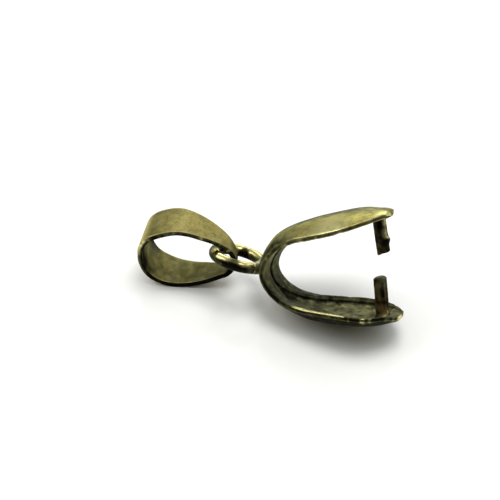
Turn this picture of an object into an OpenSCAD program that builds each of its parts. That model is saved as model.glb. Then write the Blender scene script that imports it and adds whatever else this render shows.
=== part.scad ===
// Pinch bail finding: a strip loop, a wire ring and a claw with two prongs, lying on its side.
// Millimetres. X runs from the loop to the claw's tips, Y across, Z up from the table.

/* [Claw] */
// Length of the claw from the rim at the crown to the tips
claw_length = 11.3; // [8:0.1:16]
// Widest half width of an arm
arm_half_width = 3.6; // [2:0.1:5]
// Height of the upper tip above the claw's middle line
upper_tip_height = 4.58; // [3:0.05:7]
// Height of the lower tip below the claw's middle line
lower_tip_height = 4.22; // [3:0.05:7]
// Height of an arm's domed back above its rims, at its fullest
dome_height = 1.46; // [0.7:0.02:2]
// Height of the flat side band beside each rim
band_height = 0.4; // [0.2:0.05:0.8]
// Depth of the trough in the arms at its deepest
hollow_depth = 0.8; // [0.3:0.05:1.2]
// Width of the thin rim beside the trough
rim_width = 0.34; // [0.2:0.02:0.8]
// Height of the crown's middle above the claw's middle line
crown_rise = 0.12; // [0:0.01:0.4]
// Extra fullness of the crown's upper shoulder
crown_fill = 0.12; // [0:0.02:0.3]
// Metal taken off the crown's lower shoulder
crown_trim = 0.28; // [0:0.02:0.4]
// Sag of the upper arm just before its tip
upper_tip_sag = 0.1; // [0:0.05:0.6]
// Sag of the lower arm just before its tip; below zero the rim is raised
lower_tip_sag = -0.12; // [-0.4:0.02:0.6]
// Extra metal on the outside of the lower arm just before its tip
lower_tip_fill = 0.2; // [0:0.05:0.6]
// Curl of the upper tip towards the gap
upper_tip_curl = 0.34; // [0:0.02:0.6]
// Width of the groove between the two lands of the crown
groove_width = 0.5; // [0.2:0.05:1]

/* [Prongs] */
// Diameter of a prong
prong_diameter = 1.1; // [0.6:0.05:2]
// Clear space between the two prong ends
prong_gap = 1.9; // [0.5:0.05:5]
// Height of the middle of that space above the claw's middle line
gap_centre = 0.15; // [-1:0.05:1]
// Distance of the upper prong from the crown
upper_prong_x = 10.1; // [7:0.05:11]
// Distance of the lower prong from the crown
lower_prong_x = 9.55; // [7:0.05:11]
// Lean of the upper prong towards the tips
upper_prong_lean = 2; // [0:0.5:5]
// Lean of the lower prong towards the tips
lower_prong_lean = 1.5; // [0:0.5:5]
// Height of a prong's flared foot above the trough
prong_foot_height = 0.3; // [0.2:0.05:0.6]
// Extra radius of a prong's foot where it meets the trough
prong_foot_flare = 0.22; // [0.1:0.02:0.4]
// Bevel round the end of a prong
prong_bevel = 0.14; // [0.05:0.01:0.3]

/* [Ring] */
// Radius of the ring, to the middle of its wire
ring_radius = 2.16; // [1.5:0.02:3]
// Diameter of the ring's wire
ring_wire = 1.02; // [0.6:0.02:1.6]
// Angle by which the ring rises from the claw's middle plane
ring_rise = 22.5; // [0:1:45]
// Height at which the ring stands on the crown
ring_foot_height = 0.48; // [-1:0.02:1]
// Depth from the crown's rims to the middle of the buried wire
ring_foot_depth = 0.9; // [0.5:0.02:1.5]

/* [Bail loop] */
// Length of the loop, outside
loop_length = 8.57; // [6:0.05:12]
// Greatest half height of the loop, outside
loop_half_height = 3.26; // [2:0.02:4]
// Width of the strip at the round end
loop_width = 3.64; // [2:0.02:6]
// Thickness of the strip
loop_wall = 0.5; // [0.2:0.02:0.8]
// Extra thickness where the two tips lap and are joined
loop_lap = 0.06; // [0:0.02:0.4]

/* [Lie] */
// Angle by which the claw leans over to its back
claw_roll = 28.4; // [0:0.2:40]
// Angle by which the claw's tips rise
claw_pitch = 15.6; // [0:0.2:30]
// Angle of the loop to the claw, seen from above
loop_yaw = 1.6; // [-30:0.2:30]
// Angle by which the loop's narrow end dips
loop_dip = 0; // [-10:0.5:15]
// Place of the ring's wire inside the loop, from the round end
hang_x = 6.72; // [5:0.02:7]
// Sideways shift of the ring's wire from the middle of the strip
hang_side = 0.1; // [0:0.01:1]

/* [Smoothness] */
// Sections along one arm of the claw
arm_steps = 36; // [12:2:60]
// Sections round the loop
loop_steps = 84; // [40:4:160]

/* [Hidden] */
$fn = 64;
bronze = [0.47, 0.44, 0.27];

// Claw sections from the crown to a tip, as shares.
// station, length, height, half width, dome, hollow, land beside the groove
STATION = 0; ALONG = 1; RISE = 2; HALF = 3; DOME = 4; HOLLOW = 5; LAND = 6;
ARM = [
  [0.000, 0.000, 0.000, 0.603, 0.54, 0.36, 1.00],
  [0.052, 0.013, 0.154, 0.614, 0.56, 0.36, 1.00],
  [0.110, 0.047, 0.299, 0.640, 0.60, 0.40, 0.92],
  [0.170, 0.096, 0.423, 0.675, 0.67, 0.50, 0.72],
  [0.231, 0.154, 0.522, 0.711, 0.78, 0.62, 0.48],
  [0.345, 0.277, 0.632, 0.780, 0.90, 0.83, 0.20],
  [0.457, 0.404, 0.690, 0.864, 0.99, 0.97, 0.07],
  [0.566, 0.526, 0.740, 0.930, 1.00, 1.00, 0.00],
  [0.668, 0.640, 0.790, 0.975, 0.96, 1.00, 0.00],
  [0.745, 0.725, 0.836, 0.975, 0.89, 0.95, 0.00],
  [0.810, 0.800, 0.882, 0.900, 0.77, 0.84, 0.00],
  [0.870, 0.865, 0.922, 0.735, 0.63, 0.56, 0.00],
  [0.920, 0.918, 0.953, 0.560, 0.52, 0.20, 0.00],
  [0.962, 0.962, 0.978, 0.400, 0.43, 0.05, 0.00],
  [0.986, 0.988, 0.991, 0.280, 0.34, 0.03, 0.00],
  [1.000, 1.000, 1.000, 0.120, 0.18, 0.02, 0.00]
];

// Loop profile from the round end to the joined tips, as shares.
// station, length, upper half height, lower half height, width
TALL = 2; DEEP = 3; WIDE = 4;
LOOP = [
  [0.000, 0.000, 0.000, 0.000, 0.930],
  [0.060, 0.004, 0.190, 0.225, 0.932],
  [0.109, 0.022, 0.345, 0.400, 0.938],
  [0.153, 0.047, 0.475, 0.550, 0.946],
  [0.199, 0.084, 0.600, 0.690, 0.954],
  [0.249, 0.136, 0.715, 0.810, 0.960],
  [0.292, 0.188, 0.800, 0.885, 0.955],
  [0.332, 0.240, 0.870, 0.940, 0.945],
  [0.377, 0.300, 0.935, 0.980, 0.925],
  [0.429, 0.370, 0.985, 1.000, 0.895],
  [0.480, 0.440, 1.000, 0.992, 0.855],
  [0.561, 0.550, 0.955, 0.950, 0.780],
  [0.641, 0.653, 0.860, 0.875, 0.705],
  [0.718, 0.753, 0.745, 0.780, 0.600],
  [0.803, 0.853, 0.585, 0.665, 0.475],
  [0.847, 0.900, 0.480, 0.620, 0.415],
  [0.889, 0.940, 0.365, 0.550, 0.330],
  [0.938, 0.975, 0.215, 0.420, 0.270],
  [0.972, 0.993, 0.095, 0.240, 0.240],
  [1.000, 1.000, 0.000, 0.000, 0.230]
];

// Smooth value of one column of a table at a station
function slope(t, i, c) =
  let (a = max(i - 1, 0), b = min(i + 1, len(t) - 1))
  (t[b][c] - t[a][c]) / (t[b][STATION] - t[a][STATION]);
function row(t, s, i = 0) = i >= len(t) - 2 || s < t[i + 1][STATION] ? i : row(t, s, i + 1);
function at(t, s, c, m0 = undef) =
  let (i = row(t, s), w = t[i + 1][STATION] - t[i][STATION], k = (s - t[i][STATION]) / w,
       ma = i == 0 && !is_undef(m0) ? m0 : slope(t, i, c), mb = slope(t, i + 1, c))
  (2 * k ^ 3 - 3 * k ^ 2 + 1) * t[i][c] + (k ^ 3 - 2 * k ^ 2 + k) * w * ma
  + (3 * k ^ 2 - 2 * k ^ 3) * t[i + 1][c] + (k ^ 3 - k ^ 2) * w * mb;

// Claw rim line: s runs from -1 at the lower tip over 0 at the crown to 1 at the upper tip
mean_tip = (upper_tip_height + lower_tip_height) / 2;
tip_shift = (upper_tip_height - lower_tip_height) / 2;
function rim_x(s) = claw_length * at(ARM, abs(s), ALONG, 0);
sag_start = 0.65;
function sag(share) = sin(180 * (max(0, share - sag_start) / (1 - sag_start)) ^ 2) ^ 2;
curl_start = 0.9;
function curl(share) = upper_tip_curl * (max(0, share - curl_start) / (1 - curl_start)) ^ 2;
function rim_z(s) =
  let (a = at(ARM, abs(s), ALONG, 0))
  sign(s) * mean_tip * at(ARM, abs(s), RISE) + tip_shift * a ^ 2 + crown_rise * (1 - a) ^ 4
  - (s > 0 ? upper_tip_sag * sag(a) + curl(a) : lower_tip_sag * sag(a));
function rim_half(s) = arm_half_width * at(ARM, abs(s), HALF, 0);
function out_dir(s) =
  let (d = 0.004, a = max(s - d, -1), b = min(s + d, 1),
       t = [rim_x(b) - rim_x(a), rim_z(b) - rim_z(a)])
  [-t[1], t[0]] / norm(t);

// Metal added on the crown's upper shoulder or taken off its lower one
shoulder_reach = 0.42;
function shoulder(s) =
  (s > 0 ? crown_fill : -crown_trim) * sin(180 * min(1, abs(s) / shoulder_reach)) ^ 2;

// One section of the claw: pairs of sideways place and height outward from the rim line
dome_points = 15;
trough_points = 11;
wall_lean = 0.10;
function arm_section(s) =
  let (h = rim_half(s),
       top = dome_height * at(ARM, abs(s), DOME, 0) + shoulder(s)
             + (s < 0 ? lower_tip_fill * sag(at(ARM, abs(s), ALONG, 0)) : 0),
       deep = hollow_depth * at(ARM, abs(s), HOLLOW, 0),
       land_share = at(ARM, abs(s), LAND, 0),
       rim = min(rim_width, h * 0.42),
       land = rim + max(0, (h - groove_width / 2 - rim)) * max(0, min(1, land_share)),
       band = min(band_height, top * 0.75),
       edge = h - land,
       lean = min(wall_lean, edge * 0.4),
       foot = deep * 0.42)
  concat(
    [[-h, 0], [-h - 0.02, band * 0.5]],
    [for (i = [0 : dome_points - 1])
      let (v = -cos(180 * i / (dome_points - 1)))
      [h * v, band + (top - band) * (1 - abs(v) ^ 2.7)]],
    [[h + 0.02, band * 0.5], [h, 0]],
    [for (i = [0 : trough_points - 1])
      let (v = cos(180 * i / (trough_points - 1)),
           wall = i == 0 || i == trough_points - 1)
      wall ? [edge * v, 0] : [(edge - lean) * v, foot + (deep - foot) * (1 - v ^ 2)]]
  );
function arm_ring(s) =
  let (n = out_dir(s), x = rim_x(s), z = rim_z(s))
  [for (p = arm_section(s)) [x + n[0] * p[1], p[0], z + n[1] * p[1]]];

arm_rings = [for (i = [-arm_steps : arm_steps]) arm_ring(i / arm_steps)];

// Heights of the trough's floor and of a prong's buried start, in the upper (1) or lower (-1) arm
prong_bury = 0.4;
function station_at(share, a = 0, b = 1, n = 0) =
  n > 24 ? (a + b) / 2 :
  let (m = (a + b) / 2)
  at(ARM, m, ALONG, 0) < share ? station_at(share, m, b, n + 1) : station_at(share, a, m, n + 1);
function prong_x(side) = side > 0 ? upper_prong_x : lower_prong_x;
function prong_lean(side) = side > 0 ? upper_prong_lean : lower_prong_lean;
function floor_z(side) =
  let (s = station_at(prong_x(side) / claw_length))
  rim_z(side * s) + side * hollow_depth * at(ARM, s, HOLLOW, 0);
function root_z(side) =
  let (s = station_at(prong_x(side) / claw_length),
       metal = dome_height * at(ARM, s, DOME, 0) - hollow_depth * at(ARM, s, HOLLOW, 0))
  floor_z(side) + side * prong_bury * metal;
function end_z(side) = gap_centre + side * prong_gap / 2;
function prong_span(side) = abs(root_z(side) - end_z(side)) / cos(prong_lean(side));
function foot_span(side) = abs(root_z(side) - floor_z(side)) + prong_foot_height;

// Loop strip: q runs from 0 at the tips over 1 at the round end to 2 at the tips again
function loop_mid(q) =
  let (s = q <= 1 ? 1 - q : q - 1, side = q <= 1 ? 1 : -1,
       x = loop_length * at(LOOP, s, ALONG, 0),
       z = side * loop_half_height * at(LOOP, s, side > 0 ? TALL : DEEP))
  [x, z];
function loop_out(q) =
  let (d = 0.006, a = loop_mid((q - d + 2) % 2), b = loop_mid((q + d) % 2), t = b - a)
  [t[1], -t[0]] / norm(t);
edge_round = 0.09;
function loop_ring(q) =
  let (s = q <= 1 ? 1 - q : q - 1,
       p = loop_mid(q), n = loop_out(q),
       w = loop_width * at(LOOP, s, WIDE, 0) / 2,
       lap = loop_lap * max(0, (s - 0.86) / 0.14),
       t = loop_wall + lap, r = edge_round)
  [for (c = [[-w, r], [-w + r, 0], [w - r, 0], [w, r], [w, t - r], [w - r, t], [-w + r, t], [-w, t - r]])
    [p[0] - n[0] * c[1], c[0], p[1] - n[1] * c[1]]];
loop_rings = [for (i = [loop_steps - 1 : -1 : 0]) loop_ring(2 * i / loop_steps)];

// Rotations as matrices, so that places can be worked out from the points
function turn_x(a) = [[1, 0, 0], [0, cos(a), -sin(a)], [0, sin(a), cos(a)]];
function turn_y(a) = [[cos(a), 0, sin(a)], [0, 1, 0], [-sin(a), 0, cos(a)]];
function turn_z(a) = [[cos(a), -sin(a), 0], [sin(a), cos(a), 0], [0, 0, 1]];
claw_turn = turn_y(-claw_pitch) * turn_x(-claw_roll);
loop_turn = turn_z(loop_yaw) * turn_y(loop_dip);

function flat(rings) = [for (r = rings) each r];
claw_points = [for (p = flat(arm_rings)) claw_turn * p];
loop_points = [for (p = flat(loop_rings)) loop_turn * p];
function low(points, c) = min([for (p = points) p[c]]);
function high(points, c) = max([for (p = points) p[c]]);

// Each solid rests on the table; the loop's place follows from the ring's wire
claw_rest = -low(claw_points, 2);
loop_rest = -low(loop_points, 2);
ring_centre = [-ring_foot_depth - ring_radius * cos(ring_rise), 0,
               ring_foot_height + ring_radius * sin(ring_rise)];
wire_end = ring_centre + ring_radius * [-cos(ring_rise), 0, sin(ring_rise)];
wire_place = claw_turn * wire_end;
hang_place = loop_turn * [hang_x, -hang_side, 0];
loop_shift = [wire_place[0] - hang_place[0], wire_place[1] - hang_place[1], loop_rest];

x_low = min(low(claw_points, 0), low(loop_points, 0) + loop_shift[0]);
x_high = max(high(claw_points, 0), high(loop_points, 0) + loop_shift[0]);
y_low = min(low(claw_points, 1), low(loop_points, 1) + loop_shift[1]);
y_high = max(high(claw_points, 1), high(loop_points, 1) + loop_shift[1]);
middle = [-(x_low + x_high) / 2, -(y_low + y_high) / 2, 0];
claw_place = middle + [0, 0, claw_rest];
loop_place = middle + loop_shift;

// Strip of triangles that closes an end section, between its outer and its inner chain of points
outer_points = dome_points + 4;
function mate(i) = outer_points + trough_points - 1 - round(i * (trough_points - 1) / (outer_points - 1));
function end_cap(base, flip) =
  [for (i = [0 : outer_points - 2])
    let (u = mate(i), v = mate(i + 1))
    each [for (f = u == v ? [[i, i + 1, u]] : [[i, i + 1, u], [i + 1, v, u]])
      [for (k = flip ? [2, 1, 0] : [0, 1, 2]) base + f[k]]]];

// Skin over a row of equal rings of points; a closed row wraps round, an open row gets end caps
module skin(rings, wrap) {
  n = len(rings[0]);
  m = len(rings);
  faces = concat(
    [for (i = [0 : m - (wrap ? 1 : 2)], j = [0 : n - 1])
      let (a = i * n + j, b = i * n + (j + 1) % n,
           c = ((i + 1) % m) * n + (j + 1) % n, d = ((i + 1) % m) * n + j)
      each [[a, b, c], [a, c, d]]],
    wrap ? [] : concat(end_cap(0, true), end_cap((m - 1) * n, false))
  );
  polyhedron(points = flat(rings), faces = faces, convexity = 8);
}

// Round prong of the upper (1) or lower (-1) arm, from its buried start to its bevelled end
module prong(side) {
  foot = foot_span(side);
  span = prong_span(side);
  radius = prong_diameter / 2;
  translate([prong_x(side), 0, root_z(side)])
    rotate([0, side > 0 ? 180 - prong_lean(side) : prong_lean(side), 0])
      rotate_extrude()
        polygon([[0, 0], [radius + prong_foot_flare, 0], [radius, foot], [radius, span - prong_bevel],
                 [radius - prong_bevel, span], [0, span]]);
}

module claw() {
  color(bronze)
    translate(claw_place)
      rotate([-claw_roll, -claw_pitch, 0])
        union() {
          skin(arm_rings, false);
          prong(1);
          prong(-1);
          translate(ring_centre)
            rotate([0, ring_rise, 0])
              rotate_extrude()
                translate([ring_radius, 0])
                  circle(d = ring_wire, $fn = 40);
        }
}

module bail_loop() {
  color(bronze)
    translate(loop_place)
      rotate([0, loop_dip, loop_yaw])
        skin(loop_rings, true);
}

claw();
bail_loop();
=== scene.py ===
import math

import bpy
import numpy as np
from mathutils import Matrix, Vector


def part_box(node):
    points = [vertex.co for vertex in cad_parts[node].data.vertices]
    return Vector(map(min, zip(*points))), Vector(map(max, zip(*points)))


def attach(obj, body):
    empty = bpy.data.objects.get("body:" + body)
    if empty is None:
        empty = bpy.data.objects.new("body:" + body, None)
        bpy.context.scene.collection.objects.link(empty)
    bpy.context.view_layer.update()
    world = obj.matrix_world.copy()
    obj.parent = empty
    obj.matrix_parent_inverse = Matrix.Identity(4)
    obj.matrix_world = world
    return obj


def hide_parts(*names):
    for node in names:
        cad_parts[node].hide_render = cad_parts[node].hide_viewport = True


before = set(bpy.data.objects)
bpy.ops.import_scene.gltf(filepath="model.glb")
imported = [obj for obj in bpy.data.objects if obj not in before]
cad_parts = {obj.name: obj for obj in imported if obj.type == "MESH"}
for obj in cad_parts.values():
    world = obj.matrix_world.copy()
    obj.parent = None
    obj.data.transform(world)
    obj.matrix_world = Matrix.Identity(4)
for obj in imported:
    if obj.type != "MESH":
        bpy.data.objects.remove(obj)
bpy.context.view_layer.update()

# The finding lies on a table. Sizes are in millimetres in the source's own frames, and metres in the meshes.
MM = 0.001

# Claw: the sizes of the solid model
claw_length = 11.3
arm_half_width = 3.6
upper_tip_height = 4.58
lower_tip_height = 4.22
dome_height = 1.46
band_height = 0.4
hollow_depth = 0.8
rim_width = 0.34
crown_rise = 0.12
crown_fill = 0.12
crown_trim = 0.28
upper_tip_sag = 0.1
lower_tip_sag = -0.12
lower_tip_fill = 0.2
upper_tip_curl = 0.34
groove_width = 0.5
wall_lean = 0.10
sag_start = 0.65
curl_start = 0.9
shoulder_reach = 0.42
claw_roll = 28.4
claw_pitch = 15.6

# Shares that keep a narrow or shallow section of the claw sound
rim_most = 0.42
band_most = 0.75
lean_most = 0.4
wall_foot = 0.42

# Claw's mesh: stations from tip to tip, points across each kind of surface, rounding of corners and tips
claw_stations = 301
tip_crowding = 1.12
points_across = {"band": 5, "dome": 61, "rim": 6, "wall": 4, "trough": 41}
band_bulge = 0.02
dome_fullness = 2.7
corner_rounds = 8
round_tip_start = 0.978
smallest_tip = 0.02

# Prongs
prong_diameter = 1.1
prong_gap = 1.9
gap_centre = 0.15
prong_x = {"upper": 10.1, "lower": 9.55}
prong_lean = {"upper": 2.0, "lower": 1.5}
prong_foot_height = 0.3
prong_foot_flare = 0.22
prong_buried = 0.2
prong_skin = 0.035
prong_end_length = 0.3
prong_end_round = 0.2
nub_width = 0.26

# Ring, and the collar of solder where it stands on the crown
ring_radius = 2.16
ring_wire = 1.02
ring_rise = 22.5
ring_foot_height = 0.48
ring_foot_depth = 0.9
wire_unevenness = 0.010
collar_reach = 41
collar_sunk = 0.05
collar_edge = 0.025
collar_swell = 0.10

# Bail loop
loop_length = 8.57
loop_half_height = 3.26
loop_width = 3.64
loop_wall = 0.5
loop_lap = 0.06
lap_start = 0.86
loop_yaw = 1.6
edge_round = 0.09
loop_rows = 480
loop_crowding = 0.6

# Claw sections from the crown to a tip, as shares.
# station, length, height, half width, dome, hollow, land beside the groove
STATION, ALONG, RISE, HALF, DOME, HOLLOW, LAND = range(7)
ARM = np.array([
    [0.000, 0.000, 0.000, 0.603, 0.54, 0.36, 1.00],
    [0.052, 0.013, 0.154, 0.614, 0.56, 0.36, 1.00],
    [0.110, 0.047, 0.299, 0.640, 0.60, 0.40, 0.92],
    [0.170, 0.096, 0.423, 0.675, 0.67, 0.50, 0.72],
    [0.231, 0.154, 0.522, 0.711, 0.78, 0.62, 0.48],
    [0.345, 0.277, 0.632, 0.780, 0.90, 0.83, 0.20],
    [0.457, 0.404, 0.690, 0.864, 0.99, 0.97, 0.07],
    [0.566, 0.526, 0.740, 0.930, 1.00, 1.00, 0.00],
    [0.668, 0.640, 0.790, 0.975, 0.96, 1.00, 0.00],
    [0.745, 0.725, 0.836, 0.975, 0.89, 0.95, 0.00],
    [0.810, 0.800, 0.882, 0.900, 0.77, 0.84, 0.00],
    [0.870, 0.865, 0.922, 0.735, 0.63, 0.56, 0.00],
    [0.920, 0.918, 0.953, 0.560, 0.52, 0.20, 0.00],
    [0.962, 0.962, 0.978, 0.400, 0.43, 0.05, 0.00],
    [0.986, 0.988, 0.991, 0.280, 0.34, 0.03, 0.00],
    [1.000, 1.000, 1.000, 0.120, 0.18, 0.02, 0.00],
])

# Loop profile from the round end to the joined tips, as shares.
# station, length, upper half height, lower half height, width
TALL, DEEP, WIDE = 2, 3, 4
LOOP = np.array([
    [0.000, 0.000, 0.000, 0.000, 0.930],
    [0.060, 0.004, 0.190, 0.225, 0.932],
    [0.109, 0.022, 0.345, 0.400, 0.938],
    [0.153, 0.047, 0.475, 0.550, 0.946],
    [0.199, 0.084, 0.600, 0.690, 0.954],
    [0.249, 0.136, 0.715, 0.810, 0.960],
    [0.292, 0.188, 0.800, 0.885, 0.955],
    [0.332, 0.240, 0.870, 0.940, 0.945],
    [0.377, 0.300, 0.935, 0.980, 0.925],
    [0.429, 0.370, 0.985, 1.000, 0.895],
    [0.480, 0.440, 1.000, 0.992, 0.855],
    [0.561, 0.550, 0.955, 0.950, 0.780],
    [0.641, 0.653, 0.860, 0.875, 0.705],
    [0.718, 0.753, 0.745, 0.780, 0.600],
    [0.803, 0.853, 0.585, 0.665, 0.475],
    [0.847, 0.900, 0.480, 0.620, 0.415],
    [0.889, 0.940, 0.365, 0.550, 0.330],
    [0.938, 0.975, 0.215, 0.420, 0.270],
    [0.972, 0.993, 0.095, 0.240, 0.240],
    [1.000, 1.000, 0.000, 0.000, 0.230],
])

# Cast surface of the claw: depth of its lumps, pits and fine grain on each kind of surface
RELIEF = {
    "everywhere": (0.010, 0.0, 0.004),
    "band": (0.030, 0.045, 0.0),
    "hollow": (0.030, 0.035, 0.012),
    "rim": (0.012, 0.0, 0.0),
}

# Chipped places on the claw's rims: station, side, size along the rim, depth
NICKS = [
    (0.70, -1, 0.36, 0.045),
    (-0.79, -1, 0.20, 0.09),
    (-0.835, -1, 0.14, 0.07),
    (-0.97, -1, 0.14, 0.05),
    (-0.70, -1, 0.12, 0.04),
    (-0.90, 1, 0.16, 0.05),
    (0.88, 1, 0.14, 0.04),
    (-0.55, 1, 0.2, 0.04),
]
rim_per_length = 1.3
chip_wear = 9

# Looks of each prong: turn and depth of its flats, nub as (turn, share of length, size, height), slant of the
# end, and stripes of painted highlight along a facet, as (turn, width, strength, share of the length at which
# they stop)
PRONG_LOOKS = {
    "upper": {
        "flats": 35,
        "flat_depth": 0.03,
        "nub": (4, 0.64, 0.30, 0.19),
        "seed": 11,
        "slant": 0.14,
        "painted_highlight_stripes": [(22, 26, 1.0, 0.6), (156, 14, 0.55, 1.0)],
    },
    "lower": {
        "flats": 75,
        "flat_depth": 0.02,
        "nub": (200, 0.22, 0.3, 0.03),
        "seed": 12,
        "slant": -0.05,
        "painted_highlight_stripes": [(228, 22, 0.50, 0.80), (266, 26, 0.42, 0.9), (326, 9, 0.25, 1.0), (310, 40, 0.9, 0.16)],
    },
}


# Curves, noise and turns

def at(table, s, column, first_slope=None):
    """Smooth value of one column of a table at the stations s."""
    s = np.asarray(s, float)
    last = len(table) - 1
    stations, values = table[:, STATION], table[:, column]
    low = np.maximum(np.arange(last + 1) - 1, 0)
    high = np.minimum(np.arange(last + 1) + 1, last)
    slopes = (values[high] - values[low]) / (stations[high] - stations[low])
    if first_slope is not None:
        slopes[0] = first_slope
    i = np.searchsorted(stations[1:-1], s, side="right")
    span = stations[i + 1] - stations[i]
    k = (s - stations[i]) / span
    return ((2 * k**3 - 3 * k**2 + 1) * values[i] + (k**3 - 2 * k**2 + k) * span * slopes[i]
            + (3 * k**2 - 2 * k**3) * values[i + 1] + (k**3 - k**2) * span * slopes[i + 1])


def turn(axis, degrees):
    """Rotation matrix about one axis."""
    return np.array(Matrix.Rotation(math.radians(degrees), 3, axis))


claw_turn = turn("Y", -claw_pitch) @ turn("X", -claw_roll)
loop_turn = turn("Z", loop_yaw)


def smooth_step(low, high, x):
    """0 at low, 1 at high, smooth in between; low may be the larger one."""
    k = np.clip((x - low) / (high - low), 0, 1)
    return k * k * (3 - 2 * k)


def bell(x, centre, width):
    """1 at the centre, falling off to both sides like a bell."""
    return np.exp(-(((x - centre) / width) ** 2))


def grain(points, size, seed):
    """Smooth noise from -1 to 1 at the points, with cells of the given size."""
    values = np.random.default_rng(seed).uniform(-1, 1, 4096)
    p = points / size + 57.0
    cell = np.floor(p).astype(np.int64)
    k = p - cell
    k = k * k * (3 - 2 * k)
    total = 0
    for corner in np.ndindex(2, 2, 2):
        c = cell + corner
        key = (c[..., 0] * 73856093 ^ c[..., 1] * 19349663 ^ c[..., 2] * 83492791) & 4095
        weight = np.prod(np.where(corner, k, 1 - k), axis=-1)
        total = total + weight * values[key]
    return total


def grain_share(points, size, seed):
    """The same noise, from 0 to 1."""
    return 0.5 + 0.5 * grain(points, size, seed)


# Meshes. A piece is a grid of rings of points, with two marks from 0 to 1 at each point: one for dark patina
# and painted shade, one for bright polished metal and painted highlights.

def add_object(name, data):
    """Object at the origin of the scene."""
    made = bpy.data.objects.new(name, data)
    bpy.context.scene.collection.objects.link(made)
    return made


def grid_normals(rings, closed_rows=False):
    """Outward normals of a grid of points whose rings run round the piece."""
    around = np.roll(rings, -1, 1) - np.roll(rings, 1, 1)
    if closed_rows:
        along = np.roll(rings, -1, 0) - np.roll(rings, 1, 0)
    else:
        along = np.gradient(rings, axis=0)
    n = np.cross(around, along)
    n *= np.sign((rings * n).sum())
    return n / np.maximum(np.linalg.norm(n, axis=2, keepdims=True), 1e-9)


def grid_faces(rings, closed_rows):
    """Faces of the grid, turned so that they point outwards, and whether they had to be turned."""
    rows, columns = rings.shape[:2]
    last_row = rows if closed_rows else rows - 1
    row, column = np.meshgrid(np.arange(last_row), np.arange(columns), indexing="ij")
    after, beside = (row + 1) % rows, (column + 1) % columns
    corners = [(row, column), (row, beside), (after, beside), (after, column)]
    faces = np.stack([r * columns + c for r, c in corners], -1).reshape(-1, 4)
    p = rings.reshape(-1, 3)
    across = np.cross(p[faces[:, 2]] - p[faces[:, 0]], p[faces[:, 3]] - p[faces[:, 1]])
    inside_out = (p[faces].mean(1) * across).sum() < 0
    return (faces[:, ::-1] if inside_out else faces).tolist(), inside_out


def make_piece(name, rings, marks, closed_rows=False):
    """Closed mesh from a grid of rings in millimetres; open rows end in a pole at either end."""
    rows, columns = rings.shape[:2]
    points = rings.reshape(-1, 3) * MM
    faces, inside_out = grid_faces(rings, closed_rows)
    values = {key: np.broadcast_to(mark, (rows, columns)).reshape(-1) for key, mark in marks.items()}
    if not closed_rows:
        first, last = len(points), len(points) + 1
        points = np.concatenate([points, rings[[0, -1]].mean(1) * MM])
        pairs = [(k, (k + 1) % columns) for k in range(columns)]
        if inside_out:
            pairs = [(b, a) for a, b in pairs]
        start = (rows - 1) * columns
        faces += [(first, b, a) for a, b in pairs]
        faces += [(last, start + a, start + b) for a, b in pairs]
        for key, v in values.items():
            values[key] = np.concatenate([v, [v[:columns].mean(), v[-columns:].mean()]])
    mesh = bpy.data.meshes.new(name)
    mesh.from_pydata(points.tolist(), [], faces)
    for key, v in values.items():
        stored = mesh.attributes.new(key, "FLOAT", "POINT")
        stored.data.foreach_set("value", np.ascontiguousarray(v, np.float32))
    mesh.shade_smooth()
    return add_object(name, mesh)


# Claw

mean_tip = (upper_tip_height + lower_tip_height) / 2
tip_shift = (upper_tip_height - lower_tip_height) / 2


def late_bend(s):
    """Share of the bend that an arm has just before its tip."""
    late = np.maximum(0, at(ARM, abs(s), ALONG, 0) - sag_start) / (1 - sag_start)
    return np.sin(math.pi * late**2) ** 2


def rim_line(s):
    """Length and height of the claw's rim at stations from -1 at the lower tip to 1 at the upper one."""
    a = at(ARM, abs(s), ALONG, 0)
    sunk = late_bend(s) * np.where(s > 0, upper_tip_sag, lower_tip_sag)
    curl = np.where(s > 0, upper_tip_curl, 0) * (np.maximum(0, a - curl_start) / (1 - curl_start)) ** 2
    z = np.sign(s) * mean_tip * at(ARM, abs(s), RISE) + tip_shift * a**2
    return claw_length * a, z + crown_rise * (1 - a) ** 4 - sunk - curl


def rim_half(s):
    """Half width of an arm between its rims' outer edges."""
    return arm_half_width * at(ARM, abs(s), HALF, 0)


def outward(s):
    """Direction away from the gap, square to the rim line."""
    step = 0.004
    xa, za = rim_line(np.maximum(s - step, -1))
    xb, zb = rim_line(np.minimum(s + step, 1))
    t = np.stack([xb - xa, zb - za], -1)
    t /= np.linalg.norm(t, axis=-1, keepdims=True)
    return np.stack([-t[..., 1], t[..., 0]], -1)


def spread(a, b, inner, corner=0.14):
    """Points from a to b across each section, close together near both ends."""
    length = np.linalg.norm(b - a, axis=-1, keepdims=True)
    c = np.minimum(corner / np.maximum(length, 1e-6), 0.35)
    near = [0 * c, 0.25 * c, 0.6 * c]
    middle = [c + (1 - 2 * c) * k for k in np.linspace(0, 1, inner)]
    far = [1 - 0.6 * c, 1 - 0.25 * c]
    shares = np.concatenate(near + middle + far, -1)[..., None]
    return a[:, None] + (b - a)[:, None] * shares


def round_off(sections, times):
    """Rounds the corners of closed sections."""
    for _ in range(times):
        sections = (np.roll(sections, 1, 1) + 2 * sections + np.roll(sections, -1, 1)) / 4
    return sections


def section_heights(s):
    """Height of the domed back and of the side band, and depth of the trough, at the stations."""
    shoulder = np.sin(math.pi * np.minimum(1, abs(s) / shoulder_reach)) ** 2
    shoulder = shoulder * np.where(s > 0, crown_fill, -crown_trim)
    tip_fill = np.where(s < 0, lower_tip_fill, 0) * late_bend(s)
    top = dome_height * at(ARM, abs(s), DOME, 0) + shoulder + tip_fill
    return top, np.minimum(band_height, top * band_most), hollow_depth * at(ARM, abs(s), HOLLOW, 0)


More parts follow.
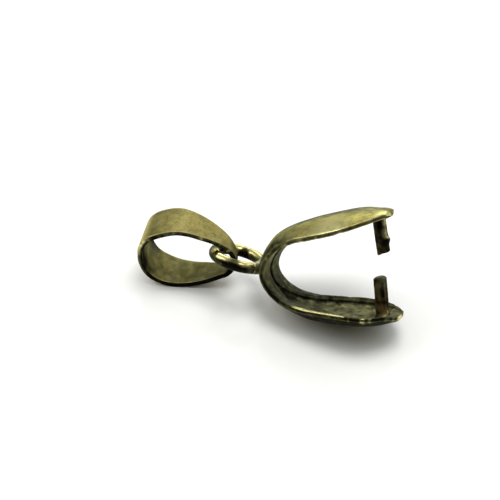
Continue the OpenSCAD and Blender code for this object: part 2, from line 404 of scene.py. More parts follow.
def arm_sections(s):
    """Sections of the claw at the stations, and the kind of surface at each of their points."""
    half = rim_half(s)
    top, band, deep = section_heights(s)
    share = np.clip(at(ARM, abs(s), LAND, 0), 0, 1)
    rim = np.minimum(rim_width, half * rim_most)
    land = rim + np.maximum(0, half - groove_width / 2 - rim) * share
    edge = half - land
    lean = np.minimum(wall_lean, edge * lean_most)
    foot = deep * wall_foot
    level = 0 * half

    def place(y, z):
        return np.stack([y, z], -1)

    def band_side(y, start, end):
        side = spread(place(y, start), place(y, end), points_across["band"])
        side[..., 0] += band_bulge * np.sign(y)[:, None] * np.sin(math.pi * side[..., 1] / band[:, None])
        return side

    def wall_side(start, end):
        return spread(start, end, points_across["wall"], 0.1)

    def rim_side(start, end):
        return spread(start, end, points_across["rim"])

    inner_right, inner_left = place(edge, level), place(-edge, level)
    foot_right, foot_left = place(edge - lean, foot), place(lean - edge, foot)
    v = np.sin(np.linspace(-math.pi / 2, math.pi / 2, points_across["dome"]))[1:-1]
    dome = place(half[:, None] * v, band[:, None] + (top - band)[:, None] * (1 - abs(v) ** dome_fullness))
    u = np.linspace(1, -1, points_across["trough"])[1:-1]
    trough = place((edge - lean)[:, None] * u, foot[:, None] + (deep - foot)[:, None] * (1 - u**2))
    parts = [
        ("band", band_side(-half, level, band)),
        ("dome", dome),
        ("band", band_side(half, band, level)),
        ("rim", rim_side(place(half, level), inner_right)),
        ("wall", wall_side(inner_right, foot_right)),
        ("trough", trough),
        ("wall", wall_side(foot_left, inner_left)),
        ("rim", rim_side(inner_left, place(-half, level))),
    ]
    kinds = np.concatenate([[kind] * p.shape[1] for kind, p in parts])
    return np.concatenate([p for _, p in parts], 1), kinds


def along_rim(s, section):
    """Sections set square to the rim line."""
    x, z = rim_line(s)
    out = outward(s)
    return np.stack([x[:, None] + out[:, :1] * section[..., 1], section[..., 0],
                     z[:, None] + out[:, 1:] * section[..., 1]], -1)


def widened(where):
    """Share of a kind of surface round each point of a section."""
    return np.convolve(np.concatenate([where[-4:], where, where[:4]]), np.ones(9) / 9, "valid")[None, :]


def corner_line(kinds, corner, width):
    """Line along the corners between two kinds of surface, its width counted in points."""
    count = len(kinds)
    line = np.zeros(count)
    for k in np.nonzero(kinds != np.roll(kinds, 1))[0]:
        if {kinds[k], kinds[k - 1]} == corner:
            gap = np.abs((np.arange(count) - k + 0.5 + count / 2) % count - count / 2)
            line = np.maximum(line, bell(gap, 0, width))
    return line[None, :]


def claw_body():
    """The cast arms and crown, with rounded rims, a pitted side band and a rough trough."""
    along = np.linspace(-1, 1, claw_stations)
    s = np.sign(along) * (1 - (1 - abs(along)) ** tip_crowding)
    half = rim_half(s)
    section, kinds = arm_sections(s)
    section = round_off(section, corner_rounds)

    # The tips close in a rounded end
    end = np.clip((abs(s) - round_tip_start) / (1 - round_tip_start), 0, 1)
    shrink = np.sqrt(np.maximum(1 - end**2, smallest_tip**2))[:, None, None]
    centre = section.mean(1, keepdims=True)
    rings = along_rim(s, centre + (section - centre) * shrink)

    # Cast and tumbled surface: metal is only ever taken away from the solid's shape
    share = {
        "everywhere": 1.0,
        "band": widened(kinds == "band"),
        "hollow": widened((kinds == "trough") | (kinds == "wall")),
        "rim": widened(kinds == "rim"),
    }
    lumps = grain_share(rings, size=0.55, seed=3)
    pits = np.clip(grain(rings, size=0.32, seed=5) * 1.6 - 0.4, 0, 1)
    fine = grain_share(rings, size=0.16, seed=7)
    depth = 0 * lumps
    for kind, (lump_depth, pit_depth, fine_depth) in RELIEF.items():
        depth = depth + share[kind] * (lump_depth * lumps + pit_depth * pits + fine_depth * fine)

    front = rings[..., 1] / np.maximum(half[:, None], 0.1)
    chipped = 0 * depth
    for station, side, size, cut in NICKS:
        nick = bell((s[:, None] - station) * claw_length * rim_per_length, 0, size)
        nick = nick * smooth_step(0.82, 0.97, side * front) * (1 - 0.7 * share["hollow"])
        chipped = chipped + cut * nick
    depth = (depth + chipped) * shrink[..., 0]
    rings = rings - grid_normals(rings) * depth[..., None]

    patina_and_shade = claw_patina_and_shade(rings, s[:, None], front, kinds, share, pits)
    wear_and_highlight = claw_wear_and_highlights(rings, s[:, None], front, kinds, share, chipped)
    return rings, {"wear_and_highlight": wear_and_highlight, "patina_and_shade": patina_and_shade}


def crown_share(s, share):
    """Share of the crown's inside and rims."""
    return smooth_step(0.42, 0.16, abs(s)) * np.maximum(share["rim"], share["hollow"])


def claw_patina_and_shade(rings, s, front, kinds, share, pits):
    """Dark patina and painted shade of the claw, from 0 to 1; front runs from -1 at the front rim to 1 at the
    back one.
    """
    dome, wall = widened(kinds == "dome"), widened(kinds == "wall")
    band, hollow, rim = share["band"], share["hollow"], share["rim"]
    crown = crown_share(s, share)
    upper, lower = smooth_step(0, 0.15, s), smooth_step(0.15, -0.15, s)
    on_front = smooth_step(0, -0.5, front)
    near_tip = smooth_step(0.76, 0.88, s)
    blotches = smooth_step(0.1, 0.7, grain(rings, size=0.42, seed=61))

    # Hollow, side bands and rims, with painted shade on the lower arm's band and rims, and a dark line round
    # the trough's floor: patina in the crease and a painted shadow of its walls
    toward_crown = smooth_step(0.52, 0.34, abs(s))
    patina_and_shade = hollow * (1 - 0.3 * wall) * (0.52 + 0.14 * toward_crown)
    # The lower arm's side band and rims are made darker still: painted shade.
    patina_and_shade = patina_and_shade + band * (0.72 + 0.33 * lower - 0.4 * blotches)
    patina_and_shade = patina_and_shade + rim * (0.3 + (0.52 - 0.1 * on_front) * lower)
    patina_and_shade = patina_and_shade + 0.6 * corner_line(kinds, {"wall", "trough"}, width=2.0)

    # Crown, darkest in its groove
    crown_dark = 0.62 - 0.2 * on_front + 0.4 * hollow * (1 - wall) - 0.15 * blotches
    patina_and_shade = np.maximum(patina_and_shade, crown_dark * crown)
    patina_and_shade = patina_and_shade + hollow * (0.12 * pits + 0.2 * blotches) * (1 - crown)

    # Domed back: round the crown, painted shade on the lower arm's underside, along its middle, and the upper
    # arm's far side
    round_crown = smooth_step(0.5, 0.16, s) * (0.35 + 0.6 * smooth_step(0.5, 0.95, abs(front)))
    painted_underside_shade = smooth_step(-0.12, -0.34, s) * smooth_step(0.15, 0.6, abs(front))
    middle = 0.30 * bell(front, 0, 0.4) * (0.6 + 0.4 * blotches)
    far_side = smooth_step(-0.65, 0, front) * (0.56 + 0.16 * blotches) * (1 - 0.45 * near_tip)
    arm_ends = 0.22 * (smooth_step(0.5, 0.3, s) + 0.4 * near_tip)
    for stain in (round_crown * (0.75 + 0.25 * blotches), painted_underside_shade, middle, (far_side + arm_ends) * upper):
        patina_and_shade = np.maximum(patina_and_shade, dome * stain)
    return np.clip(patina_and_shade, 0, 1)


def claw_wear_and_highlights(rings, s, front, kinds, share, chipped):
    """Bright metal of the claw, from 0 to 1: chipped and polished edges, and painted highlights."""
    dome = widened(kinds == "dome")
    lower = smooth_step(0.15, -0.15, s)
    on_front = smooth_step(0, -0.5, front)
    spots = smooth_step(0.25, 0.75, grain(rings, size=0.8, seed=63))

    # Lines along the rims' outer edges, with a painted highlight line on a stretch of the lower arm's front
    # rim
    painted_rim_highlight = smooth_step(-0.22, -0.32, s) * smooth_step(-0.70, -0.64, s) * on_front
    lines = (1 - 0.7 * lower + 1.9 * painted_rim_highlight) * corner_line(kinds, {"band", "rim"}, width=3.4)

    # A second line on the upper arm, where the domed back meets the side band: faint polish, with painted
    # highlights near the middle and at the tip
    painted_ridge_highlight = 0.9 * bell(s, 0.64, 0.10) + 0.7 * smooth_step(0.84, 0.94, s)
    back_line = (0.2 + 1.3 * painted_ridge_highlight * on_front) * smooth_step(0, 0.1, s)
    lines = lines + back_line * corner_line(kinds, {"band", "dome"}, width=2.4)
    patchy = np.maximum(0.35 + 0.65 * spots, 0.9 * painted_rim_highlight)
    wear_and_highlight = lines * smooth_step(0.2, 0.4, abs(s)) * patchy

    # Chipped places, flecks in the crown, and painted highlights on the back of the upper arm and on both
    # tips
    flecks = smooth_step(0.3, 0.8, grain(rings, size=0.3, seed=65)) * crown_share(s, share)
    flecks = flecks * smooth_step(-0.2, 0.5, front) * lower
    painted_arm_highlight = 0.60 * bell(s, 0.62, 0.11) * smooth_step(-0.25, -0.7, front)
    painted_upper_tip_highlight = 0.5 * smooth_step(0.90, 0.97, s) * on_front * smooth_step(0.2, 0.6, abs(front))
    painted_lower_tip_highlight = 0.9 * smooth_step(-0.98, -0.992, s) * smooth_step(0.5, -0.3, front)
    wear_and_highlight = wear_and_highlight + chip_wear * chipped + 0.4 * flecks + (painted_upper_tip_highlight + painted_arm_highlight) * dome + painted_lower_tip_highlight
    return np.clip(wear_and_highlight, 0, 1)


# Prongs

def station_at(share):
    """Station at which an arm reaches a share of its length."""
    s = np.linspace(0, 1, 4001)
    return float(np.interp(share, at(ARM, s, ALONG, 0), s))


def prong_points(side):
    """Where a prong leaves the trough, its direction and the length of metal above the trough."""
    way = 1 if side == "upper" else -1
    s = station_at(prong_x[side] / claw_length)
    floor = float(rim_line(np.array(way * s))[1]) + way * hollow_depth * float(at(ARM, s, HOLLOW, 0))
    lean = math.radians(prong_lean[side])
    direction = np.array([math.sin(lean), 0, -way * math.cos(lean)])
    reach = abs(floor - (gap_centre + way * prong_gap / 2)) / math.cos(lean)
    return np.array([prong_x[side], 0, floor]), direction, reach


def prong(side):
    """Round pin with slight flats, a flared foot and an uneven nipped end."""
    looks = PRONG_LOOKS[side]
    foot_place, direction, reach = prong_points(side)
    radius = prong_diameter / 2 + prong_skin

    # Radius along the prong, from its buried start over the flared foot to the rounded end
    foot_end, end_start = prong_foot_height + 0.5, reach - prong_end_length
    quarter = np.linspace(0, math.pi / 2, 16)
    t = np.concatenate([
        np.linspace(-prong_buried, foot_end, 16)[:-1],
        np.linspace(foot_end, end_start, 60)[:-1],
        reach - prong_end_length * (1 - np.sin(quarter)),
    ])
    above_start = (t + prong_buried) / (prong_foot_height + prong_buried)
    flare = prong_foot_flare * np.clip(1 - above_start, 0, 1) ** 1.5
    over = np.clip((t - (reach - prong_end_round)) / prong_end_round, 0, 1)
    profile = (radius + flare) - prong_end_round * (1 - np.sqrt(np.maximum(1 - over**2, 0)))

    # Directions round the prong
    angle = np.linspace(0, 2 * math.pi, 64, endpoint=False)
    side_way = np.array([1.0, 0, 0]) - direction * direction[0]
    side_way /= np.linalg.norm(side_way)
    other_way = np.cross(direction, side_way)
    spin = np.cos(angle)[:, None] * side_way + np.sin(angle)[:, None] * other_way
    centre = foot_place + direction * t[:, None]

    # Flats and a nub
    three_sides = 0.5 + 0.5 * np.cos(3 * (angle - math.radians(looks["flats"])))
    flats = looks["flat_depth"] * three_sides[None, :] * smooth_step(0, 0.4, t)[:, None]
    nub_turn, nub_share, nub_size, nub_height = looks["nub"]
    away = np.abs((angle - math.radians(nub_turn) + math.pi) % (2 * math.pi) - math.pi) * radius
    nub = nub_height * bell(away[None, :], 0, nub_width) * bell(t[:, None], nub_share * reach, nub_size)
    r = profile[:, None] - flats + nub
    rings = centre[:, None] + spin[None] * r[..., None]

    # Rough skin, and an end that was nipped off at a slant
    rough = grain_share(rings, size=0.38, seed=looks["seed"])
    dents = 0.02 * rough + 0.008 * grain(rings, size=0.15, seed=23) - 0.01
    r = r - dents * (1 - 0.5 * smooth_step(reach - 0.1, reach, t))[:, None]
    rings = centre[:, None] + spin[None] * r[..., None]
    uneven = 0.07 * grain(rings, size=0.6, seed=looks["seed"] + 30) - 0.06
    slant = looks["slant"] * np.cos(angle)[None, :] * r / radius
    near_end = smooth_step(reach - 0.35, reach, t)[:, None]
    rings = rings + direction * ((uneven - slant) * near_end)[..., None]

    # Worn at the end, painted highlights in stripes along the facets, dark elsewhere
    wear_and_highlight = 0.3 * smooth_step(reach - 0.3, reach - 0.1, t)[:, None] * rough
    for turned, width, stripe_strength, stop in looks["painted_highlight_stripes"]:
        off = np.abs((np.degrees(angle) - turned + 180) % 360 - 180)
        painted_stripe = bell(off, 0, width)[None, :] * smooth_step(stop + 0.05, stop - 0.05, t / reach)[:, None]
        wear_and_highlight = np.maximum(wear_and_highlight, stripe_strength * painted_stripe * (0.5 + 0.5 * smooth_step(0.2, 0.7, rough)))
    patina_and_shade = 1.0 - 0.3 * rough + 0.25 * smooth_step(0.4, 0.0, t)[:, None]
    return rings, {"wear_and_highlight": wear_and_highlight, "patina_and_shade": np.clip(patina_and_shade, 0, 1)}


# The trees of shaders and of geometry nodes

class Value:
    """A socket whose operators add Math nodes, so that a node tree's maths reads as Python."""

    def __init__(self, tree, socket):
        self.tree, self.socket = tree, socket

    def __add__(self, other):
        return self.tree.maths("ADD", self, other)

    __radd__ = __add__

    def __mul__(self, other):
        return self.tree.maths("MULTIPLY", self, other)

    __rmul__ = __mul__

    def __sub__(self, other):
        return self.tree.maths("SUBTRACT", self, other)

    def __rsub__(self, other):
        return self.tree.maths("SUBTRACT", other, self)

    def __truediv__(self, other):
        return self.tree.maths("DIVIDE", self, other)

    def __abs__(self):
        return self.tree.maths("ABSOLUTE", self)

    def clipped(self):
        """Held between 0 and 1."""
        return self.tree.node("ShaderNodeClamp", {}, {0: self})

    def near(self, centre, width):
        """1 at the centre, 0 further away than the width, smooth in between."""
        return 1.0 - abs(self - centre).between(0.0, width)

    def between(self, low, high):
        """0 below low, 1 above high, smooth in between."""
        settings = {"interpolation_type": "SMOOTHSTEP"}
        inputs = {"Value": self, "From Min": low, "From Max": high}
        return self.tree.node("ShaderNodeMapRange", settings, inputs)


class Tree:
    """A node tree in which every node comes from one method."""

    def __init__(self, tree):
        self.tree = tree
        self.tree.nodes.clear()

    def node(self, kind, settings=None, inputs=None, output=0):
        """New node with its settings made first, then its sockets linked or set; gives one output."""
        made = self.tree.nodes.new(kind)
        for key, value in (settings or {}).items():
            setattr(made, key, value)
        for key, value in (inputs or {}).items():
            if isinstance(value, Value):
                self.tree.links.new(value.socket, made.inputs[key])
            else:
                made.inputs[key].default_value = value
        return Value(self, made.outputs[output]) if len(made.outputs) else None

    def maths(self, operation, *values):
        return self.node("ShaderNodeMath", {"operation": operation}, dict(enumerate(values)))

    def blend(self, share, first, second):
        """Colour mix from first to second."""
        settings = {"data_type": "RGBA", "blend_type": "MIX"}
        return self.node("ShaderNodeMix", settings, {0: share, 6: first, 7: second}, output=2)

    def noise(self, place, scale, detail=3.0, distortion=0.0):
        """Noise from 0 to 1 at a place, its scale in cells to the metre."""
        inputs = {"Vector": place, "Scale": scale, "Detail": detail, "Distortion": distortion}
        return self.node("ShaderNodeTexNoise", {}, inputs)

    def mark(self, name):
        """A mark stored on the piece's points."""
        return self.node("ShaderNodeAttribute", {"attribute_name": name}, output=2)


def finish_tree(name):
    """New material and its empty tree."""
    material = bpy.data.materials.new(name)
    material.use_nodes = True
    return material, Tree(material.node_tree)


# Sizes of the finish's patterns, in cells to the metre
CLOUDS, STAINS, MOTTLE, SPECKS = 420.0, 760.0, 1500.0, 4200.0

# Patina left in the low places: a coloured film where it is thin, nearly black where it is thick. The same
# colours also paint shade on the pieces.
olive_film = (0.080, 0.081, 0.027)
brown_film = (0.135, 0.088, 0.034)
grey_green_film = (0.108, 0.114, 0.060)
thick_patina_and_shade = (0.005, 0.004, 0.002)

# Metal: bright and dull patches of each part, brown tarnish, and a pale colour for polished edges and painted
# highlights
claw_metal = (0.45, 0.415, 0.160), (0.29, 0.270, 0.088)
loop_metal = (0.33, 0.292, 0.108), (0.235, 0.206, 0.072)
ring_metal = (0.62, 0.55, 0.22), (0.30, 0.262, 0.09)
solder_metal = (0.50, 0.52, 0.42), (0.30, 0.31, 0.24)
brown_tarnish = (0.30, 0.225, 0.075)
rubbed_and_highlight_metal = (0.80, 0.74, 0.37)
metal_tint = (0.80, 0.77, 0.52)
patina_tint = (0.45, 0.43, 0.20)


def bronze(name, metal, gloss=0.32, tarnish=0.5, patches=0.0, film=olive_film):
    """Antique bronze: plated metal, polished edges, patina left in the low places, painted shade and
    highlights.
    """
    material, t = finish_tree(name)
    bright, dull = metal
    place = t.node("ShaderNodeTexCoord", output=3)
    wear_and_highlight, patina_and_shade = t.mark("wear_and_highlight"), t.mark("patina_and_shade")
    clouds = t.noise(place, CLOUDS, 4.0, 0.6)
    mottle = t.noise(place, MOTTLE, 5.0, 0.3)
    specks = t.noise(place, SPECKS, 2.0)

    # Bare metal: clouded, tarnished, stained, and pale where edges are polished and where highlights are
    # painted
    colour = t.blend(clouds.between(0.30, 0.70), (*dull, 1), (*bright, 1))
    colour = t.blend(t.noise(place, STAINS, 3.0).between(0.42, 0.68) * tarnish, colour, (*brown_tarnish, 1))
    stain = mottle.between(0.38, 0.72) * tarnish * 0.9 + specks.between(0.45, 0.70) * 0.35
    colour = t.blend(stain.clipped(), colour, (*olive_film, 1))
    colour = t.blend((wear_and_highlight * mottle.between(0.25, 0.5) * 0.9).clipped(), colour, (*rubbed_and_highlight_metal, 1))
    relief = mottle * 0.6 + specks * 0.35
    bump = t.node("ShaderNodeBump", {}, {"Strength": 0.4, "Distance": 0.00003, "Height": relief})
    bare = t.node("ShaderNodeBsdfPrincipled", {}, {
        "Base Color": colour,
        "Roughness": (gloss + 0.08 * mottle - 0.12 * wear_and_highlight).clipped(),
        "Metallic": 1.0,
        "Normal": bump,
        "Specular Tint": (*metal_tint, 1),
    })

    # Patina over it, which also lays the painted shade
    low = patina_and_shade * (0.35 + 1.25 * mottle) + patches * clouds.between(0.56, 0.65)
    low = (low.clipped() - wear_and_highlight * 0.9).clipped()
    thin = t.blend(clouds.between(0.44, 0.60), (*film, 1), (*grey_green_film, 1))
    covered = t.node("ShaderNodeBsdfPrincipled", {}, {
        "Base Color": t.blend(low.between(0.4, 0.95), thin, (*thick_patina_and_shade, 1)),
        "Roughness": (gloss + 0.12 + 0.1 * mottle).clipped(),
        "Metallic": 0.3,
        "Normal": bump,
        "Specular IOR Level": 0.06,
        "Specular Tint": (*patina_tint, 1),
    })
    shader = t.node("ShaderNodeMixShader", {}, {0: low.between(0.02, 0.6), 1: bare, 2: covered})
    t.node("ShaderNodeOutputMaterial", {}, {"Surface": shader})
    return material


claw_finish = bronze("claw_antique_bronze", claw_metal)
prong_finish = bronze("prong_dark_bronze", claw_metal, gloss=0.24, film=brown_film)
ring_finish = bronze("ring_polished_bronze", ring_metal, gloss=0.16, tarnish=0.45, patches=0.2)
solder_finish = bronze("solder_bright", solder_metal, gloss=0.30, tarnish=0.2)
loop_finish = bronze("loop_antique_bronze", loop_metal, gloss=0.48, tarnish=0.40)


# Ring: a wire swept round a circle, made by a node tree

ring_centre = np.array([-ring_foot_depth - ring_radius * math.cos(math.radians(ring_rise)), 0,
                        ring_foot_height + ring_radius * math.sin(math.radians(ring_rise))])


def input_identifier(group, name):
    """Identifier of a tree's named input."""
    return next(item.identifier for item in group.interface.items_tree if item.name == name)


def ring_painted_light(t, place, wire, wobble):
    """Painted shade and highlights of the wire, by height on it and by turn round the ring, in radians from
    the crown.
    """
    x, y, height = [t.node("ShaderNodeSeparateXYZ", {}, {0: place}, output=k) for k in range(3)]
    turned = t.maths("ARCTAN2", y, x)
    level = height / wire + 0.35 * (wobble - 0.5)
    # Dark patches at three turns round the ring are painted dark reflections
    far_patch = 1.5 * turned.near(1.66, 0.34) * (1.0 - 0.8 * level.between(0.6, 1.0))
    left_patch = 0.85 * abs(turned).between(2.4, 2.9)
    near_patch = 0.8 * turned.near(-1.42, 0.45)
    # The wire's lower half is made dark: painted shade
    dark = 0.72 - 0.72 * level.between(0.05, 0.7) + (far_patch + left_patch + near_patch)
    dark = dark.clipped()
    # Its top and a place near its left end are made bright: painted highlights
    left_shine = 0.7 * turned.near(-2.05, 0.4) * level.between(0.1, 0.6)
    shine = 0.3 * level.between(0.5, 0.95) + left_shine
    return {"patina_and_shade": dark, "wear_and_highlight": shine * (1.0 - dark)}


def ring_tree(sizes):
    """Tree that sweeps the wire round the ring, makes it a little uneven and stores its marks."""
    group = bpy.data.node_groups.new("ring_wire_sweep", "GeometryNodeTree")
    group.interface.new_socket("Geometry", in_out="OUTPUT", socket_type="NodeSocketGeometry")
    for name in sizes:
        group.interface.new_socket(name, in_out="INPUT", socket_type="NodeSocketFloat")
    t = Tree(group)
    radius, wire, uneven = [t.node("NodeGroupInput", output=k) for k in range(len(sizes))]
    path = t.node("GeometryNodeCurvePrimitiveCircle", {}, {"Resolution": 180, "Radius": radius})
    section = t.node("GeometryNodeCurvePrimitiveCircle", {}, {"Resolution": 48, "Radius": wire})
    swept = t.node("GeometryNodeCurveToMesh", {}, {"Curve": path, "Profile Curve": section})
    wobble = t.node("ShaderNodeTexNoise", {}, {"Scale": 900.0, "Detail": 1.0})
    normal = t.node("GeometryNodeInputNormal")
    inward = {0: normal, "Scale": (0.0 - wobble) * uneven}
    shift = t.node("ShaderNodeVectorMath", {"operation": "SCALE"}, inward)
    shape = t.node("GeometryNodeSetPosition", {}, {"Geometry": swept, "Offset": shift})
    place = t.node("GeometryNodeInputPosition")
    for name, mark in ring_painted_light(t, place, wire, wobble).items():
        shape = t.node("GeometryNodeStoreNamedAttribute", {"data_type": "FLOAT", "domain": "POINT"},
                       {"Geometry": shape, "Name": name, "Value": mark})
    smooth = t.node("GeometryNodeSetShadeSmooth", {}, {"Geometry": shape})
    whole = t.node("GeometryNodeRealizeInstances", {}, {"Geometry": smooth})
    painted = t.node("GeometryNodeSetMaterial", {}, {"Geometry": whole, "Material": ring_finish})
    t.node("NodeGroupOutput", {}, {"Geometry": painted})
    return group


def wire_ring():
    """The ring as a plain mesh, in its own frame."""
    sizes = {
        "Ring Radius": ring_radius * MM,
        "Wire Radius": ring_wire / 2 * MM,
        "Unevenness": wire_unevenness * MM,
    }
    holder = add_object("ring_holder", bpy.data.meshes.new("ring_holder"))
    modifier = holder.modifiers.new("Sweep", "NODES")
    modifier.node_group = ring_tree(sizes)
    for name, size in sizes.items():
        modifier[input_identifier(modifier.node_group, name)] = size
    seen = holder.evaluated_get(bpy.context.evaluated_depsgraph_get())
    mesh = bpy.data.meshes.new_from_object(seen)
    mesh.name = "wire_ring"
    holder.modifiers.clear()
    bpy.data.objects.remove(holder)
    return add_object("wire_ring", mesh)


def solder_collar():
    """Bead of solder along the wire where it lies on the crown."""
    reach = math.radians(collar_reach)
    angle = np.linspace(-reach, reach, 71)
    edge = 1 - abs(angle) / reach
    r = ring_wire / 2 - collar_sunk + (collar_sunk + collar_edge) * smooth_step(0, 0.12, edge)
    r = r + collar_swell * smooth_step(0.1, 1, edge)
    around = np.linspace(0, 2 * math.pi, 48, endpoint=False)[None, :, None]
    outward_way = np.stack([np.cos(angle), np.sin(angle), 0 * angle], -1)[:, None]
    spin = np.cos(around) * outward_way + np.sin(around) * np.array([0, 0, -1.0])
    rings = ring_radius * outward_way + spin * r[:, None, None]
    rings = rings - spin * (0.02 + 0.02 * grain(rings, size=0.5, seed=41))[..., None]
    rings = rings @ turn("Y", ring_rise).T + ring_centre
    # A pale line at each end of the bead: the solder's edge, with a painted highlight on it
    seam_highlight = bell(edge, 0.06, 0.05)[:, None]
    return rings, {"wear_and_highlight": seam_highlight, "patina_and_shade": 0.25 * (1 - seam_highlight)}


# Bail loop

def loop_outline(q):
    """Outline of the loop's outer face; q runs from 0 at the tips over 1 at the round end to 2."""
    q = q % 2
    s = np.where(q <= 1, 1 - q, q - 1)
    z = np.where(q <= 1, at(LOOP, s, TALL), -at(LOOP, s, DEEP)) * loop_half_height
    return np.stack([loop_length * at(LOOP, s, ALONG, 0), z], -1)


def strip_section(half, wall):
    """Places across the strip and inward from its outer face, once round its section."""
    corners = [(1, 0), (1, 1), (-1, 1), (-1, 0)]
    flat = np.linspace(-1, 1, 27)[None, 1:-1]
    across, inward = [], []
    for number, (side, deep) in enumerate(corners):
        bend = np.radians(np.linspace(-90, 0, 7) + 90 * number)[None]
        corner_depth = wall - edge_round if deep else edge_round + 0 * wall
        across.append(side * (half - edge_round) + edge_round * np.cos(bend))
        inward.append(corner_depth + edge_round * np.sin(bend))
        if side > 0 and deep:
            across.append(-flat * (half - edge_round))
            inward.append(wall + 0 * flat)
    across.append(flat * (half - edge_round))
    inward.append(0 * wall + 0 * flat)
    return np.concatenate(across, 1), np.concatenate(inward, 1)


def loop_strip():
    """Leaf-shaped strip bent into the loop, with rounded cut edges and its two tips joined."""
    step = np.linspace(0, 2, loop_rows, endpoint=False)
    q = step - loop_crowding / math.pi * np.sin(math.pi * step)
    s = np.where(q <= 1, 1 - q, q - 1)
    t = loop_outline(q + 0.006) - loop_outline(q - 0.006)
    t /= np.linalg.norm(t, axis=-1, keepdims=True)
    out = np.stack([t[:, 1], -t[:, 0]], -1)
    half = (loop_width * at(LOOP, s, WIDE, 0) / 2)[:, None]
    wall = (loop_wall + loop_lap * np.maximum(0, (s - lap_start) / (1 - lap_start)))[:, None]
    across, inward = strip_section(half, wall)
    outer = loop_outline(q)
    rings = np.stack([outer[:, :1] - out[:, :1] * inward, across, outer[:, 1:] - out[:, 1:] * inward], -1)
    return rings, s, half - np.abs(across), inward / wall


def bail_loop():
    """The strip with its slight unevenness, dark cut edges and bright corners."""
    rings, s, from_edge, inward = loop_strip()
    lumps = grain_share(rings, size=0.9, seed=51)
    fine = grain_share(rings, size=0.2, seed=53)
    pits = np.clip(grain(rings, size=0.35, seed=55) * 1.6 - 0.5, 0, 1)
    cut = smooth_step(0.03, 0.005, from_edge)
    joint = bell((1 - s) * loop_length, 0, 0.09)[:, None]
    depth = 0.012 * lumps + 0.003 * fine + 0.03 * cut * pits + 0.03 * joint
    rings = rings - grid_normals(rings, True) * depth[..., None]

    # Shares of the strip's inside, its upper half and its places from round end to tips
    s = s[:, None]
    height = rings[..., 2]
    inner = smooth_step(0.45, 0.55, inward)
    nose = smooth_step(0.84, 0.95, s)
    round_end = smooth_step(0.30, 0.05, s)
    painted_round_end_reflection = smooth_step(0.24, 0.14, s) * smooth_step(0, 0.8, height)

    # Wear on both corners of each cut edge and flecks on the upper edge, and a painted reflection on the
    # outside of the round end
    spots = smooth_step(-0.2, 0.7, grain(rings, size=1.1, seed=57))
    flecks = smooth_step(0.15, 0.6, grain(rings, size=0.3, seed=69)) * (height > 0)
    wear_and_highlight = (0.25 + 0.6 * spots) * bell(from_edge, 0.05, 0.03) * (1 - 0.5 * nose)
    wear_and_highlight = wear_and_highlight + 0.4 * cut * flecks + 0.6 * (1 - inner) * painted_round_end_reflection

    # Patina: the inside, deepest where it bends at the round end, cut edges with painted shade on their lower
    # half, joint and streaks across
    inside = 0.34 + 0.7 * smooth_step(0.26, 0.10, s) * bell(from_edge, 0, 0.75)
    edge_patina_and_shade = np.where(height < 0, 0.95, 0.6) - 0.6 * round_end
    streaks = grain_share(np.stack([s * 11, 0 * s, 0 * s], -1), size=0.5, seed=67)
    shoulder = bell(s, 0.27, 0.035) * (1 - inner)
    patina_and_shade = inner * inside + cut * edge_patina_and_shade + 0.5 * joint + 0.45 * nose
    patina_and_shade = patina_and_shade + (0.10 - 0.05 * inner) * streaks + 0.16 * shoulder
    return rings, {"wear_and_highlight": wear_and_highlight, "patina_and_shade": np.clip(patina_and_shade, 0, 1)}


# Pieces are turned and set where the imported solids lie

claw_low, claw_high = [np.array(corner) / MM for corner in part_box("claw")]
loop_low, loop_high = [np.array(corner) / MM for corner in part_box("bail_loop")]


def solid_reach(rings, turned):
    """Lowest and highest corner of a turned shape."""
    points = rings.reshape(-1, 3) @ turned.T
    return points.min(0), points.max(0)


body_rings, body_marks = claw_body()
solid_stations = np.linspace(-1, 1, 73)
solid_sections, _ = arm_sections(solid_stations)
solid_low, solid_high = solid_reach(along_rim(solid_stations, solid_sections), claw_turn)
cast_low, _ = solid_reach(body_rings, claw_turn)
claw_place = np.array([
    claw_high[0] - solid_high[0],
    (claw_low + claw_high - solid_low - solid_high)[1] / 2,
    claw_low[2] - cast_low[2],
])
strip_rings, strip_marks = bail_loop()
strip_low, strip_high = solid_reach(strip_rings, loop_turn)
loop_place = (loop_low + loop_high) / 2 - (strip_low + strip_high) / 2


def claw_piece(name, shape, finish):
    """A piece of the claw's body from its rings and marks in the claw's own frame."""
    rings, marks = shape
    piece = make_piece(name, rings @ claw_turn.T + claw_place, marks)
    piece.data.materials.append(finish)
    return piece


claw_arms = claw_piece("claw_arms", (body_rings, body_marks), claw_finish)
upper_prong = claw_piece("upper_prong", prong("upper"), prong_finish)
lower_prong = claw_piece("lower_prong", prong("lower"), prong_finish)
collar = claw_piece("solder_collar", solder_collar(), solder_finish)
ring = wire_ring()
claw_lie = Matrix.Translation(Vector(claw_place * MM)) @ Matrix(claw_turn).to_4x4()
ring_stand = Matrix.Translation(Vector(ring_centre * MM)) @ Matrix(turn("Y", ring_rise)).to_4x4()
ring.data.transform(claw_lie @ ring_stand)
strip = make_piece("loop_strip", strip_rings @ loop_turn.T + loop_place, strip_marks, closed_rows=True)
strip.data.materials.append(loop_finish)

for piece in (claw_arms, upper_prong, lower_prong, collar, ring):
    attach(piece, "claw")
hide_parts("claw")
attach(strip, "loop")
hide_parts("bail_loop")


# Floor, light and camera

# Softboxes, all aimed at the finding: place in metres, width, depth, power
SOFTBOXES = {
    "key_softbox": ((0.03, 0.04, 0.29), 0.16, 0.15, 0.36),
    "left_softbox": ((-0.225, 0.0, 0.21), 0.20, 0.24, 0.30),
    "right_softbox": ((0.24, 0.19, 0.18), 0.30, 0.30, 0.26),
    "back_softbox": ((-0.05, 0.32, 0.11), 0.20, 0.13, 0.22),
}
lamp_white = (1.0, 0.995, 0.97)
room_white = (1.0, 1.0, 0.985)
table_white = (0.955, 0.96, 0.955)
table_half = 0.6

# Camera: degrees, millimetres, and pixels of the photo's frame
view_elevation = 42.0
view_heading = -13.96
view_distance = 200.0
view_shift_right = -1.89
view_shift_up = 1.86
frame_pixels = 500
focal_pixels = 2320
sensor_width = 36.0


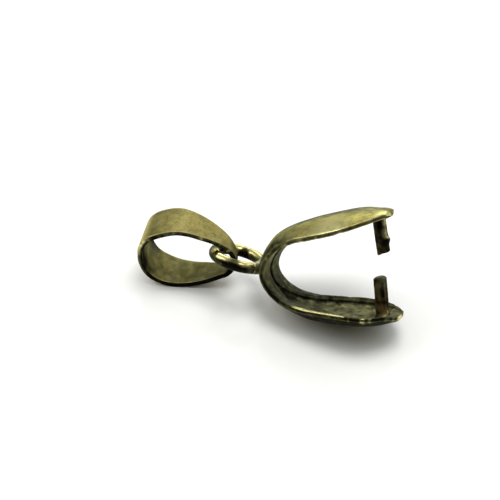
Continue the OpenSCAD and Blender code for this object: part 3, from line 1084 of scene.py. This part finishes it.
def glossy_floor():
    """Plain white glossy table."""
    low, high = -table_half, table_half
    mesh = bpy.data.meshes.new("white_table")
    mesh.from_pydata([(low, low, 0), (high, low, 0), (high, high, 0), (low, high, 0)], [], [(0, 1, 2, 3)])
    floor = add_object("white_table", mesh)
    material, t = finish_tree("white_gloss")
    place = t.node("ShaderNodeTexCoord", output=3)
    soft = t.noise(place, 30.0, 2.0)
    shader = t.node("ShaderNodeBsdfPrincipled", {}, {
        "Base Color": (*table_white, 1),
        "Roughness": 0.10 + 0.04 * soft,
    })
    t.node("ShaderNodeOutputMaterial", {}, {"Surface": shader})
    mesh.materials.append(material)


def studio_light():
    """Soft light from above and behind, with a dim room on the camera's side."""
    scene = bpy.context.scene
    scene.world = bpy.data.worlds.new("studio")
    scene.world.use_nodes = True
    t = Tree(scene.world.node_tree)
    way = t.node("ShaderNodeTexCoord", output=0)
    y, z = [t.node("ShaderNodeSeparateXYZ", {}, {0: way}, output=k) for k in (1, 2)]
    behind = (y * 0.60 + z * 0.75).between(-0.20, 0.9)
    glow = 0.015 + 0.80 * behind
    colour = t.node("ShaderNodeBackground", {}, {"Color": (*room_white, 1), "Strength": glow})
    t.node("ShaderNodeOutputWorld", {}, {"Surface": colour})
    for name, (place, width, depth, power) in SOFTBOXES.items():
        lamp = bpy.data.lights.new(name, "AREA")
        lamp.shape = "RECTANGLE"
        lamp.size = width
        lamp.size_y = depth
        lamp.energy = power
        lamp.color = lamp_white
        holder = add_object(name, lamp)
        holder.location = place
        holder.rotation_euler = (-Vector(place)).to_track_quat("-Z", "Y").to_euler()


def photo_camera():
    """Camera 42 degrees above the table, turned a little round the finding."""
    turned = turn("X", view_elevation) @ turn("Z", view_heading)
    eye = turned.T @ (turned @ claw_place + np.array([view_shift_right, -view_distance, view_shift_up]))
    right, ahead, up = turned
    lens = bpy.data.cameras.new("photo_camera")
    lens.sensor_fit = "HORIZONTAL"
    lens.sensor_width = sensor_width
    lens.lens = focal_pixels / frame_pixels * sensor_width
    lens.clip_start = 0.01
    lens.clip_end = 10.0
    camera = add_object("photo_camera", lens)
    stand = Matrix(np.stack([right, up, -ahead], 1).tolist()).to_4x4()
    stand.translation = Vector(eye * MM)
    camera.matrix_world = stand
    bpy.context.scene.camera = camera


glossy_floor()
studio_light()
photo_camera()
bpy.context.scene.view_settings.view_transform = "Standard"
